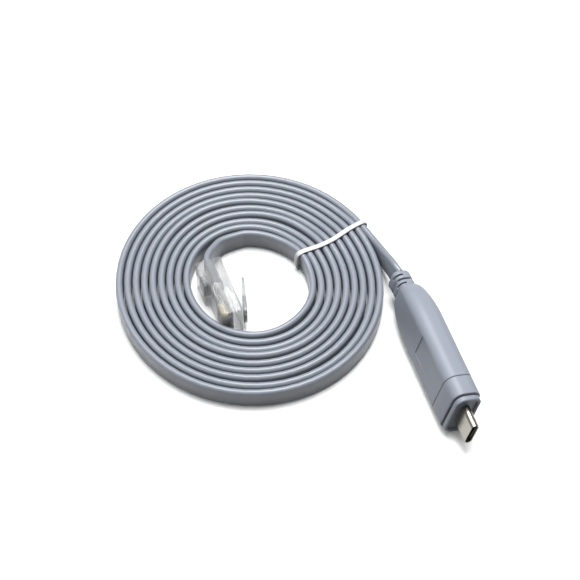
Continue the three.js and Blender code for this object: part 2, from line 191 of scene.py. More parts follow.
class Finish:
    """One material: constants on its shader, and nodes for what changes over the surface."""

    def __init__(self, name, colour, roughness, metallic=0.0, **constants):
        self.material = bpy.data.materials.new(name)
        self.material.use_nodes = True
        self.tree = self.material.node_tree
        self.shader = self.tree.nodes["Principled BSDF"]
        self.shader.inputs["Base Color"].default_value = (*colour, 1)
        self.shader.inputs["Roughness"].default_value = roughness
        self.shader.inputs["Metallic"].default_value = metallic
        for socket, value in constants.items():
            self.shader.inputs[socket.replace("_", " ")].default_value = value

    def feed(self, socket, value):
        if isinstance(value, Value):
            self.tree.links.new(value.socket, socket)
        elif isinstance(value, tuple) and len(value) == 3 and socket.type == "RGBA":
            socket.default_value = (*value, 1)
        else:
            socket.default_value = value

    def node(self, kind, settings=None, inputs=None, output=0):
        made = self.tree.nodes.new("ShaderNode" + kind)
        for name, value in (settings or {}).items():
            setattr(made, name, value)
        for name, value in (inputs or {}).items():
            self.feed(made.inputs[name], value)
        return Value(self, made.outputs[output])

    def place(self):
        return self.node("TexCoord", output="Object")

    def noise(self, scale, detail):
        """Noise over the piece: cells to the metre and how many finer layers."""
        inputs = {"Vector": self.place(), "Scale": scale, "Detail": detail}
        return self.node("TexNoise", {"noise_dimensions": "3D"}, inputs)

    def attribute(self, name):
        return self.node("Attribute", {"attribute_name": name}, output="Fac")

    def mix(self, share, first, second):
        sockets = {0: share, 6: first, 7: second}
        return self.node("Mix", {"data_type": "RGBA"}, sockets, output=2)

    def set(self, socket, value):
        self.feed(self.shader.inputs[socket], value)

    def bump(self, height, distance, strength):
        inputs = {"Height": height, "Distance": distance, "Strength": strength}
        self.set("Normal", self.node("Bump", inputs=inputs))


def shade(colour, factor):
    return tuple(channel * factor for channel in colour)


CABLE_BLUE = (0.176, 0.193, 0.226)
HOUSING_BLUE = (0.192, 0.210, 0.249)
# Drawn lines in the cable's skin: how often they change to the metre and once round
LINES_ALONG = 30
LINES_AROUND = 900


def cable_finish():
    """Soft extruded PVC: faint lines along the cable, a fine grain and slow tone changes."""
    made = Finish("cable_pvc", CABLE_BLUE, 0.36, Specular_IOR_Level=0.55)
    tone = made.noise(160, 3)
    skin = made.node("CombineXYZ", inputs={0: made.attribute("along") * LINES_ALONG,
                                           1: made.attribute("around") * LINES_AROUND, 2: 0.0})
    lines = made.node("TexNoise", {"noise_dimensions": "2D"}, {"Vector": skin, "Scale": 1.0, "Detail": 2.0})
    colour = made.mix(tone * 0.6 + lines * 0.4, shade(CABLE_BLUE, 0.90), shade(CABLE_BLUE, 1.08))
    made.set("Base Color", colour)
    made.set("Roughness", 0.28 + 0.14 * tone)
    grain = made.noise(5200, 2)
    made.bump(grain * 0.5 + lines * 0.8, 0.00004, 0.35)
    return made.material


def housing_finish(name, base):
    """Moulded PVC with a spark-eroded grain."""
    made = Finish(name, base, 0.5, Specular_IOR_Level=0.45)
    tone = made.noise(120, 4)
    grain = made.noise(6500, 3)
    made.set("Base Color", made.mix(tone, shade(base, 0.93), shade(base, 1.06)))
    made.set("Roughness", 0.42 + 0.16 * grain)
    made.bump(grain, 0.00005, 0.3)
    return made.material


def clear_finish(name, density, gloss):
    """Clear polycarbonate: denser where it's seen edge on, with faint flow lines and haze."""
    made = Finish(name, (0.28, 0.29, 0.295), 0.06, Specular_IOR_Level=gloss)
    flow = made.noise(420, 2)
    haze = made.noise(150, 3)
    glance = made.node("LayerWeight", None, {"Blend": 0.35}, output="Facing")
    made.set("Base Color", made.mix(haze, (0.20, 0.21, 0.215), (0.37, 0.38, 0.385)))
    made.set("Alpha", density + 0.12 * haze + 0.45 * glance)
    made.set("Roughness", 0.04 + 0.08 * flow)
    made.bump(flow, 0.0001, 0.2)
    return made.material


def nickel_finish():
    """Nickel-plated stamping, brushed lightly along its length."""
    made = Finish("nickel_plate", (0.26, 0.25, 0.225), 0.36, 1.0)
    scratch = made.noise(1800, 4)
    made.set("Roughness", 0.24 + 0.18 * scratch)
    made.set("Base Color", made.mix(scratch, (0.22, 0.21, 0.185), (0.30, 0.29, 0.26)))
    made.bump(scratch, 0.00003, 0.2)
    return made.material


def gold_finish():
    made = Finish("gold_plate", (0.40, 0.31, 0.13), 0.3, 1.0)
    wear = made.noise(2600, 3)
    made.set("Base Color", made.mix(wear, (0.28, 0.215, 0.08), (0.52, 0.42, 0.20)))
    made.set("Roughness", 0.18 + 0.2 * wear)
    return made.material


def black_finish():
    made = Finish("black_insulator", (0.012, 0.012, 0.014), 0.5)
    grain = made.noise(5200, 2)
    made.set("Roughness", 0.4 + 0.2 * grain)
    made.bump(grain, 0.00003, 0.3)
    return made.material


def tie_finish():
    """White plastic drawn over the wire, a little uneven and worn."""
    made = Finish("tie_plastic", (0.45, 0.46, 0.475), 0.42)
    tone = made.noise(900, 3)
    made.set("Base Color", made.mix(tone, (0.38, 0.39, 0.405), (0.52, 0.53, 0.545)))
    made.set("Roughness", 0.3 + 0.2 * tone)
    made.bump(tone, 0.0001, 0.3)
    return made.material


def wire_finish(number, colour):
    made = Finish(f"wire_{number}", colour, 0.4)
    tone = made.noise(1500, 2)
    made.set("Base Color", made.mix(tone, shade(colour, 0.85), shade(colour, 1.1)))
    return made.material


def rounded_outline(breadth, height, corner, per_corner):
    """Points round a rounded rectangle, anticlockwise, breadth across and height up."""
    corner = min(corner, breadth / 2, height / 2)
    points = []
    for quarter, (sx, sy) in enumerate(((1, 1), (-1, 1), (-1, -1), (1, -1))):
        for step in range(per_corner + 1):
            angle = (quarter + step / per_corner) * math.pi / 2
            points.append((sx * (breadth / 2 - corner) + corner * math.cos(angle),
                           sy * (height / 2 - corner) + corner * math.sin(angle)))
    return points


def new_ring(bm, places):
    made = bmesh.ops.create_circle(bm, segments=len(places), radius=1)["verts"]
    for vert, place in zip(made, places):
        vert.co = place
    edges = [edge for edge in bm.edges if edge.verts[0] in made and edge.verts[1] in made]
    return made, edges


def next_ring(bm, ring, places):
    """Extrudes the open ring and puts its new points at the places given."""
    verts, edges = ring
    partner = {}
    made = bmesh.ops.extrude_edge_only(bm, edges=edges)["geom"]
    new_edges = [item for item in made if isinstance(item, bmesh.types.BMEdge)]
    new_verts = {item for item in made if isinstance(item, bmesh.types.BMVert)}
    for vert in verts:
        for edge in vert.link_edges:
            other = edge.other_vert(vert)
            if other in new_verts:
                partner[vert] = other
    ordered = [partner[vert] for vert in verts]
    for vert, place in zip(ordered, places):
        vert.co = place
    rim = [edge for edge in new_edges if edge.verts[0] in new_verts and edge.verts[1] in new_verts]
    return ordered, rim


def loft(rings, close_start=True, close_end=True):
    """A skin over rings of points, each as long as the first."""
    bm = bmesh.new()
    first = ring = new_ring(bm, rings[0])
    for places in rings[1:]:
        ring = next_ring(bm, ring, places)
    if close_start:
        bmesh.ops.contextual_create(bm, geom=first[1])
    if close_end:
        bmesh.ops.contextual_create(bm, geom=ring[1])
    bmesh.ops.recalc_face_normals(bm, faces=bm.faces)
    return bm


def merge(bm, other):
    """Adds another shape to this one."""
    mesh = bpy.data.meshes.new("merged")
    other.to_mesh(mesh)
    other.free()
    bm.from_mesh(mesh)
    bpy.data.meshes.remove(mesh)


def make_piece(name, bm, material, replaces=(), body="root", place=None, sharp=35):
    """Turns a bmesh into a piece that rides on a body and stands for its CAD nodes."""
    bmesh.ops.transform(bm, matrix=TO_METRES @ (place or Matrix()), verts=bm.verts)
    mesh = bpy.data.meshes.new(name)
    bm.to_mesh(mesh)
    bm.free()
    for face in mesh.polygons:
        face.use_smooth = True
    mesh.set_sharp_from_angle(angle=math.radians(sharp))
    mesh.materials.append(material)
    piece = bpy.data.objects.new(name, mesh)
    SCENE.collection.objects.link(piece)
    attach(piece, body)
    if replaces:
        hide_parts(*replaces)
    return piece


# Route of the cable. The wound part is a spiral about SPIRAL_CENTRE; a turn count falls
# inwards, and its whole numbers lie on the left of the coil.
TURN_PITCH = 2.59
TURN_ZERO_RADIUS = 35.86
OUTERMOST_TURN = 2.414
INNERMOST_TURN = -6.778
POINTS_PER_TURN = 64
CABLE_CORNER_POINTS = 4
# How far the coil is from round: cosine and sine parts in millimetres, once and twice a turn
OUT_OF_ROUND = ((-0.40, -1.16), (-0.47, -0.72))
# Places where a turn lies slack or tight: turn count, offset and length in turns
SLACK_SPOTS = (
    (2.44, -0.75, 0.07), (0.64, 0.42, 0.10), (-0.25, -0.12, 0.12), (-1.83, 0.42, 0.10), (-3.66, 0.42, 0.10),
    (-3.26, -0.32, 0.12), (-4.28, 0.32, 0.16), (-4.78, -0.34, 0.14), (-5.20, 0.16, 0.25),
    (-6.36, -0.50, 0.07), (-6.60, 0.55, 0.07),
)
TIE_LIFT = 0.57
TIE_LIFT_SPREAD = 5.0

# Free stretches at both ends of the cable: points about the coil's centre
OUTER_ROUTE = ((39.6, 14.6, 4.3), (42.3, 7.9, 6.5))
INNER_ROUTE = ((-8.2, 15.8, 4.2), (-10.9, 12.2, 4.9), (-12.3, 9.2, 5.5))
STRAIGHT_OUT = 3.5
STRAIGHT_IN = 2.5
# Points in each gap of the free stretches, and how many the housing's roll carries on for
ROUTE_PIECES = 6
LEAN_POINTS = 22


def coil_point(turn):
    angle = math.pi - math.tau * turn
    radius = TURN_ZERO_RADIUS + TURN_PITCH * turn
    for times, (cosine, sine) in enumerate(OUT_OF_ROUND, 1):
        radius += cosine * math.cos(times * angle) + sine * math.sin(times * angle)
    for place, offset, spread in SLACK_SPOTS:
        radius += offset * math.exp(-((turn - place) / spread) ** 2)
    off_tie = math.remainder(angle - math.radians(TIE_ANGLE), math.tau) * radius
    height = CABLE_WIDTH / 2 + TIE_LIFT * math.exp(-(off_tie / TIE_LIFT_SPREAD) ** 2)
    return SPIRAL_CENTRE + Vector((radius * math.cos(angle), radius * math.sin(angle), height))


def smooth_through(points, pieces=ROUTE_PIECES):
    """A smooth line through the points, each gap split into equal pieces."""
    padded = [2 * points[0] - points[1], *points, 2 * points[-1] - points[-2]]
    line = []
    for a, b, c, d in zip(padded, padded[1:], padded[2:], padded[3:]):
        for step in range(pieces):
            t = step / pieces
            line.append(0.5 * (2 * b + (c - a) * t + (2 * a - 5 * b + 4 * c - d) * t ** 2
                               + (3 * b - a - 3 * c + d) * t ** 3))
    return [*line, points[-1]]


def cable_route():
    """Points from the strain relief, in along the coil and into the modular plug."""
    count = round((OUTERMOST_TURN - INNERMOST_TURN) * POINTS_PER_TURN)
    wound = [coil_point(OUTERMOST_TURN + (INNERMOST_TURN - OUTERMOST_TURN) * i / count)
             for i in range(count + 1)]
    outer = [USB @ Vector((-SEAT_GAP, relief_bend(-SEAT_GAP), 0)),
             USB @ Vector((-STRAIGHT_OUT, relief_bend(-STRAIGHT_OUT), 0)),
             *(COIL_CENTRE + Vector(point) for point in reversed(OUTER_ROUTE)), wound[0], wound[1]]
    in_plug = [PLUG @ Vector((distance, CONDUCTOR_OFFSET, PLUG_WIDTH / 2))
               for distance in (-STRAIGHT_IN, 0, JACKET_DEPTH / 2, JACKET_DEPTH)]
    inner = [wound[-2], wound[-1], *(COIL_CENTRE + Vector(point) for point in INNER_ROUTE), *in_plug]
    return smooth_through(outer)[:-ROUTE_PIECES - 1] + wound[:-1] + smooth_through(inner)[ROUTE_PIECES:]


def cable_sections(route):
    """The flat section at each point of the route, upright but leaning with the housing at its end."""
    outline = rounded_outline(CABLE_WIDTH, CABLE_THICKNESS, CABLE_CORNER, CABLE_CORNER_POINTS)
    sections = []
    for i, point in enumerate(route):
        ahead = (route[min(i + 1, len(route) - 1)] - route[max(i - 1, 0)]).normalized()
        up = (Vector((0, 0, 1)) - ahead * ahead.z).normalized()
        lean = math.radians(-HOUSING_ROLL) * max(0, 1 - i / LEAN_POINTS) ** 1.5
        up = Matrix.Rotation(lean, 3, ahead) @ up
        side = ahead.cross(up)
        sections.append([point + up * across + side * through for across, through in outline])
    return sections


def add_cable(material):
    route = cable_route()
    bm = loft(cable_sections(route))
    along = bm.verts.layers.float.new("along")
    around = bm.verts.layers.float.new("around")
    count = len(bm.verts) // len(route)
    travelled = [0.0]
    for a, b in zip(route, route[1:]):
        travelled.append(travelled[-1] + (b - a).length)
    for i, vert in enumerate(bm.verts):
        vert[along] = travelled[i // count] / 1000
        vert[around] = (i % count) / count
    piece = make_piece("flat_cable", bm, material,
                       ("cable_coil", "cable_outer_lead", "cable_inner_lead"), sharp=60)
    route[0] / 1000
    [point / 1000 for point in route]


# USB-C connector
SHOULDER_FULLNESS = 0.5
RELIEF_BEND = 0.35
HOUSING_CORNER_POINTS = 10
SHELL_CORNER_POINTS = 12


def body_swell(distance):
    """How far the housing has widened from its relief to its full size, from 0 to 1."""
    t = min(max((distance - RELIEF_LENGTH) / SHOULDER_LENGTH, 0), 1)
    return math.sin(t * math.pi / 2) ** SHOULDER_FULLNESS


def relief_bend(distance):
    """The relief gives a little towards the coil, where the cable pulls it."""
    return -RELIEF_BEND * max(0, 1 - distance / RELIEF_LENGTH) ** 2


def housing_ring(distance, inset=0.0):
    swell = body_swell(distance)
    thickness = RELIEF_THICKNESS + (BODY_THICKNESS - RELIEF_THICKNESS) * swell - 2 * inset
    width = RELIEF_WIDTH + (BODY_WIDTH - RELIEF_WIDTH) * swell - 2 * inset
    corner = RELIEF_CORNER + (BODY_CORNER - RELIEF_CORNER) * swell - inset
    bend = relief_bend(distance)
    outline = rounded_outline(thickness, width, corner, HOUSING_CORNER_POINTS)
    return [Vector((distance, y + bend, z)) for y, z in outline]


SEAM_EDGE = 0.15
# Outline of the relief: stations and how far each is drawn in
RELIEF_PROFILE = (
    (0, 1.1), (0.06, 0.6), (0.22, 0.28), (0.5, 0.1), (0.9, 0), (1.6, 0), (2.4, 0), (3.15, 0), (3.33, 0.12),
    (3.6, 0.3), (3.87, 0.12), (4.05, 0), (4.8, 0), (5.75, 0), (5.95, 0.08), (6.15, 0.25), (6.3, 0.42),
)
SHOULDER_RINGS = 44
# How much those rings crowd towards the relief
RING_CROWDING = 1.8
# Edge of the cap: how far behind its front and how far drawn in
CAP_PROFILE = ((0.35, 0), (0.1, 0.1), (0, 0.35), (0, 1.0))
PANEL_START = 27.0
PANEL_END = 41.5
PANEL_DEPTH = 0.2
PANEL_LOW = -2.1
PANEL_HIGH = 5.6
# The panel fades out this near the surface
PANEL_RUN_OUT = 0.01
# How far cutting shapes stand out of the surface
CUT_CLEAR = 1
NOSE_EDGE = 0.25
NOSE_INNER_EDGE = 0.15
NOSE_ROOT_DEPTH = 0.2
NOSE_ROOT_INSET = 1.2
NOSE_DRAFT = 0.1
SHELL_LIP = 0.1
SHELL_LIP_TAPER = 0.26
SHELL_TAPER_LENGTH = 0.5
SHELL_TAPER = 0.06


def turned(bm, degrees):
    """Turns a shape about the connector's axis."""
    turn = Matrix.Rotation(math.radians(degrees), 3, "X")
    bmesh.ops.rotate(bm, cent=(0, 0, 0), matrix=turn, verts=bm.verts)
    return bm


def relief_slit(at, facing, reach):
    angle = math.radians(facing)
    surface = ((RELIEF_THICKNESS / 2 - RELIEF_CORNER) * abs(math.cos(angle))
               + (RELIEF_WIDTH / 2 - RELIEF_CORNER) * abs(math.sin(angle)) + RELIEF_CORNER)
    half = SLIT_BREADTH / 2
    low = (at - half, surface - SLIT_DEPTH, -reach)
    high = (at + half, surface + CUT_CLEAR, reach)
    slit = slab(low, high, half * 0.9, 3)
    return turned(slit, facing)


def panel_recess():
    """A shallow recess for a label on the broad face, running out towards the cap."""
    face = -BODY_THICKNESS / 2
    outline = [(PANEL_START, face - CUT_CLEAR), (PANEL_END, face - CUT_CLEAR),
               (PANEL_END, face - PANEL_RUN_OUT), (PANEL_START, face + PANEL_DEPTH)]
    return prism(outline, PANEL_LOW, PANEL_HIGH)


def add_housing(material):
    rings = [housing_ring(station, inset) for station, inset in RELIEF_PROFILE]
    run = SEAM_AT - SEAM_EDGE - RELIEF_LENGTH
    for i in range(1, SHOULDER_RINGS + 1):
        rings.append(housing_ring(RELIEF_LENGTH + run * (i / SHOULDER_RINGS) ** RING_CROWDING))
    rings.append(housing_ring(SEAM_AT, SEAM_EDGE))
    piece = make_piece("usb_body", loft(rings), material, ("usb_housing",), place=USB)
    cuts = [panel_recess(), turned(panel_recess(), 180)]
    for at, facing, reach in SLITS:
        cuts += [relief_slit(at, facing, reach), relief_slit(at, facing + 180, reach)]
    cut_away(piece, cuts, USB)
    return piece


def add_cap(material):
    start = SEAM_AT + SEAT_GAP * 0.5
    rings = [housing_ring(start, SEAM_EDGE), housing_ring(start + SEAM_EDGE)]
    rings += [housing_ring(CAP_FRONT - behind, inset) for behind, inset in CAP_PROFILE]
    return make_piece("usb_cap", loft(rings), material, ("usb_front_cap",), place=USB)


def nose_ring(distance, inset):
    outline = rounded_outline(BODY_THICKNESS - 2 * inset, BODY_WIDTH - 2 * inset, BODY_CORNER - inset,
                              HOUSING_CORNER_POINTS)
    return [Vector((distance, y, z)) for y, z in outline]


def add_nose(material):
    back = CAP_FRONT + SEAT_GAP
    rim_inside = NOSE_INSET + NOSE_RIM
    profile = [(back - NOSE_ROOT_DEPTH, NOSE_INSET + NOSE_ROOT_INSET), (back, NOSE_INSET + NOSE_EDGE),
               (back + NOSE_EDGE, NOSE_INSET), (NOSE_FRONT - NOSE_EDGE, NOSE_INSET),
               (NOSE_FRONT, NOSE_INSET + NOSE_EDGE), (NOSE_FRONT, rim_inside - NOSE_INNER_EDGE),
               (NOSE_FRONT - NOSE_INNER_EDGE, rim_inside),
               (NOSE_FRONT - NOSE_RECESS, rim_inside + NOSE_DRAFT)]
    bm = loft([nose_ring(*station) for station in profile])
    return make_piece("usb_nose", bm, material, ("usb_nose_piece",), place=USB)


def stadium(distance, thickness, width):
    outline = rounded_outline(thickness, width, thickness / 2, SHELL_CORNER_POINTS)
    return [Vector((distance, y, z)) for y, z in outline]


def add_shell(material):
    inner_t = SHELL_THICKNESS - 2 * SHELL_WALL
    inner_w = SHELL_WIDTH - 2 * SHELL_WALL
    back = NOSE_FRONT - SHELL_DEPTH
    rings = [stadium(back, inner_t, inner_w),
             stadium(back, SHELL_THICKNESS, SHELL_WIDTH),
             stadium(SHELL_FRONT - SHELL_TAPER_LENGTH, SHELL_THICKNESS, SHELL_WIDTH),
             stadium(SHELL_FRONT - SHELL_LIP, SHELL_THICKNESS - SHELL_TAPER, SHELL_WIDTH - SHELL_TAPER),
             stadium(SHELL_FRONT, SHELL_THICKNESS - SHELL_LIP_TAPER, SHELL_WIDTH - SHELL_LIP_TAPER),
             stadium(SHELL_FRONT - SHELL_LIP, inner_t, inner_w),
             stadium(back, inner_t, inner_w)]
    bm = loft(rings, False, False)
    bmesh.ops.remove_doubles(bm, verts=bm.verts, dist=1e-5)
    bmesh.ops.recalc_face_normals(bm, faces=bm.faces)
    return make_piece("usb_shell", bm, material, ("usb_c_shell",), place=USB)


def add_liner(material):
    thickness = SHELL_THICKNESS - 2 * (SHELL_WALL + LINER_GAP)
    width = SHELL_WIDTH - 2 * (SHELL_WALL + LINER_GAP)
    front = SHELL_FRONT - LINER_SETBACK
    slot_t = thickness - 2 * LINER_WALL
    slot_w = width - 2 * LINER_WALL
    rings = [stadium(NOSE_FRONT - SHELL_DEPTH, thickness, width), stadium(front, thickness, width),
             stadium(front, slot_t, slot_w), stadium(front - LINER_SLOT_DEPTH, slot_t, slot_w)]
    return make_piece("usb_liner", loft(rings), material, ("usb_c_liner",), place=USB)


# Modular plug
BLADE_CHAMFER = 0.5
BLADE_TOOTH = 0.5
CONDUCTOR_STEPS = 8
CONDUCTOR_SIDES = 14
CONDUCTOR_DRAWN_IN = 0.06
CHANNEL_CLEAR = 0.2
CHANNEL_HALF = 4.3
# Window over the cable's jacket, and the wedge in it: distance along the plug and depth
WINDOW_START = 3.2
WINDOW_END = 7.2
WINDOW_HALF = 2.6
WINDOW_FLOOR = 0.6
WEDGE_OUTLINE = ((3.5, 0.15), (6.9, 0.15), (6.7, 1.2), (6.0, 2.0), (4.9, 2.0))
WEDGE_HALF = 2.35
WIRE_COLOURS = (
    (0.55, 0.50, 0.42), (0.09, 0.16, 0.30), (0.62, 0.45, 0.10), (0.08, 0.28, 0.12),
    (0.42, 0.05, 0.03), (0.015, 0.015, 0.018), (0.50, 0.20, 0.04), (0.045, 0.016, 0.010),
)


def round_edges(bm, edge, segments):
    if edge:
        bmesh.ops.bevel(bm, geom=bm.edges[:], offset=edge, segments=segments, profile=0.5,
                        affect="EDGES", material=-1)
    return bm


def slab(low, high, edge=0.0, segments=2):
    """A box between two corners with its edges rounded."""
    bm = bmesh.new()
    bmesh.ops.create_cube(bm, size=1)
    size = Vector(high) - Vector(low)
    bmesh.ops.scale(bm, vec=size, verts=bm.verts)
    bmesh.ops.translate(bm, vec=(Vector(low) + Vector(high)) / 2, verts=bm.verts)
    return round_edges(bm, edge, segments)


def prism(points, low, high, edge=0.0, segments=2):
    """A flat outline in x and y, drawn up from one height to another, edges rounded."""
    bm = bmesh.new()
    verts = [bm.verts.new((x, y, low)) for x, y in points]
    face = bm.faces.new(verts)
    made = bmesh.ops.extrude_face_region(bm, geom=[face])["geom"]
    top = [item for item in made if isinstance(item, bmesh.types.BMVert)]
    bmesh.ops.translate(bm, vec=(0, 0, high - low), verts=top)
    bmesh.ops.recalc_face_normals(bm, faces=bm.faces)
    return round_edges(bm, edge, segments)


def contact_height(number):
    """How high a contact and its conductor lie over the plug's lower side."""
    return PLUG_WIDTH / 2 + (number - (CONTACT_COUNT - 1) / 2) * CONTACT_PITCH


def add_contacts(material):
    blades = []
    contact_face = -PLUG_THICKNESS / 2 + PLUG_NOSE_STEP
    front = PLUG_LENGTH - PLUG_NOSE_EDGE
    rear = front - BLADE_LENGTH
    low = contact_face + BLADE_SETBACK
    high = CONDUCTOR_OFFSET - CONDUCTOR_DIAMETER / 2 - BLADE_GAP
    foot = high - BLADE_TOOTH
    points = [(rear, low + BLADE_CHAMFER), (rear + BLADE_CHAMFER, low), (front - 0.9, low),
              (front - 0.25, low + 0.25), (front, low + 0.9), (front, foot), (front - 0.4, foot),
              (front - 0.9, high), (front - 1.4, foot), (rear + 1.6, foot), (rear + 1.1, high),
              (rear + 0.6, foot), (rear, foot)]
    for i in range(CONTACT_COUNT):
        height = contact_height(i)
        bm = prism(points, height - BLADE_THICKNESS / 2, height + BLADE_THICKNESS / 2, 0.04, 1)
        name = f"contact_blade_{i + 1}"
        blades.append(make_piece(f"gold_{name}", bm, material, (name,), place=PLUG))
    return blades


def add_conductors():
    wires = []
    start = JACKET_DEPTH + SEAT_GAP
    end = PLUG_LENGTH - PLUG_NOSE_EDGE - BLADE_SETBACK - SEAT_GAP
    radius = CONDUCTOR_DIAMETER / 2
    for i, colour in enumerate(WIRE_COLOURS):
        height = contact_height(i)
        rings = []
        for step in range(CONDUCTOR_STEPS + 1):
            share = step / CONDUCTOR_STEPS
            x = start + (end - start) * share
            drawn_in = 1 - CONDUCTOR_DRAWN_IN * math.cos(share * math.pi / 2)
            z = PLUG_WIDTH / 2 + (height - PLUG_WIDTH / 2) * drawn_in
            rings.append([Vector((x, CONDUCTOR_OFFSET + radius * math.cos(a), z + radius * math.sin(a)))
                          for a in (math.tau * k / CONDUCTOR_SIDES for k in range(CONDUCTOR_SIDES))])
        name = f"conductor_{i + 1}"
        wires.append(make_piece(f"wire_{name}", loft(rings), wire_finish(i + 1, colour),
                                (name,), place=PLUG))
    return wires


def add_plug_body(material):
    back = PLUG_THICKNESS / 2
    face = -back + PLUG_NOSE_STEP
    edge = PLUG_NOSE_EDGE
    points = [(0, -back), (PLUG_STEP_AT, -back), (PLUG_STEP_AT + PLUG_NOSE_STEP / 2, face),
              (PLUG_LENGTH - edge, face), (PLUG_LENGTH, face + edge), (PLUG_LENGTH, back - edge),
              (PLUG_LENGTH - edge, back), (0, back)]
    bm = prism(points, 0, PLUG_WIDTH, 0.18)
    piece = make_piece("clear_plug", bm, material, ("plug_body",), place=PLUG)
    middle = PLUG_WIDTH / 2
    entry_half = CABLE_THICKNESS / 2 + SEAT_GAP
    entry_side = CABLE_WIDTH / 2 + SEAT_GAP
    entry_face = CONDUCTOR_OFFSET - entry_half
    channel = CONDUCTOR_DIAMETER / 2 + CHANNEL_CLEAR
    cuts = [
        slab((-CUT_CLEAR, entry_face, middle - entry_side),
             (JACKET_DEPTH + SEAT_GAP, CONDUCTOR_OFFSET + entry_half, middle + entry_side), 0.2),
        slab((JACKET_DEPTH, CONDUCTOR_OFFSET - channel, middle - CHANNEL_HALF),
             (PLUG_LENGTH - edge - BLADE_SETBACK, CONDUCTOR_OFFSET + channel, middle + CHANNEL_HALF), 0.1),
        slab((WINDOW_START, -back - CUT_CLEAR, middle - WINDOW_HALF),
             (WINDOW_END, entry_face - WINDOW_FLOOR, middle + WINDOW_HALF), 0.25),
    ]
    half = BLADE_THICKNESS / 2 + BLADE_GAP
    for i in range(CONTACT_COUNT):
        height = contact_height(i)
        cuts.append(slab((PLUG_LENGTH - edge - BLADE_LENGTH - SEAT_GAP, face - CUT_CLEAR, height - half),
                         (PLUG_LENGTH + CUT_CLEAR, CONDUCTOR_OFFSET, height + half)))
    cut_away(piece, cuts, PLUG)
    return piece


def add_wedge(material):
    """The wedge that the crimping tool presses down on the cable's jacket."""
    outline = [(distance, depth - PLUG_THICKNESS / 2) for distance, depth in WEDGE_OUTLINE]
    bm = prism(outline, PLUG_WIDTH / 2 - WEDGE_HALF, PLUG_WIDTH / 2 + WEDGE_HALF, 0.15)
    return make_piece("clear_wedge", bm, material, place=PLUG)


def cut_away(piece, cutters, place):
    """Cuts the shapes out of a piece and keeps the result as its mesh."""
    joined = bmesh.new()
    for cutter in cutters:
        merge(joined, cutter)
    bmesh.ops.transform(joined, matrix=TO_METRES @ place, verts=joined.verts)
    mesh = bpy.data.meshes.new("cutters")
    joined.to_mesh(mesh)
    joined.free()
    tool = bpy.data.objects.new("cutters", mesh)
    SCENE.collection.objects.link(tool)
    cut = piece.modifiers.new("cut", "BOOLEAN")
    cut.operation = "DIFFERENCE"
    cut.solver = "EXACT"
    cut.use_self = True
    cut.object = tool
    graph = bpy.context.evaluated_depsgraph_get()
    result = bpy.data.meshes.new_from_object(piece.evaluated_get(graph))
    piece.modifiers.clear()
    piece.data = result
    bpy.data.objects.remove(tool)


def add_latch(material):
    hinge = Vector([value * 1000 for value in frame["record"]["behaviour"]["joints"][0]["pos_m"]])
    place = Matrix.Translation(hinge) @ turn_about(PLUG_HEADING - LATCH_ANGLE)
    half = LATCH_THICKNESS / 2
    points = [(half, 0), (half * 0.6, half * 0.8), (0, half), (-LATCH_ROOT_LENGTH, half),
              (-LATCH_LENGTH + 0.8, half * 0.8), (-LATCH_LENGTH, half * 0.2),
              (-LATCH_LENGTH + 0.5, -half * 0.7), (-LATCH_ROOT_LENGTH - 1.0, -half), (0, -half),
              (half * 0.6, -half * 0.8)]
    bm = prism(points, -LATCH_LEVER_WIDTH / 2, LATCH_LEVER_WIDTH / 2, 0.12)
    root_side = LATCH_ROOT_WIDTH / 2
    merge(bm, slab((-LATCH_ROOT_LENGTH, -half, -root_side), (0, half, root_side), 0.15))
    return make_piece("clear_latch", bm, material, ("plug_latch",), body="latch", place=place)


# Twist tie
# How far the tie strays sideways on its way over the layers: share of the way and offset
TIE_WAVE = (
    (0.14, -0.45), (0.26, -0.85), (0.38, -1.0), (0.5, -0.9), (0.62, -0.45), (0.75, 0.05), (0.88, 0.3),
)
# Where the innermost turn leaves the coil, in degrees
INNER_END_ANGLE = 100
TAIL_LENGTH = 9.5
TAIL_PITCH = 3.4
TAIL_STRAND = 0.36
TAIL_STEPS = 48
TAIL_SIDES = 10
# How far the tail's middle lies outside the cable, and how far the strands keep off the floor
TAIL_BEYOND = 0.85
TAIL_LIFT = 0.02


def closed_through(points, pieces):
    """A smooth loop through the points."""
    line = smooth_through([points[-1], *points, points[0], points[1]], pieces)
    return line[pieces:-pieces - 1]


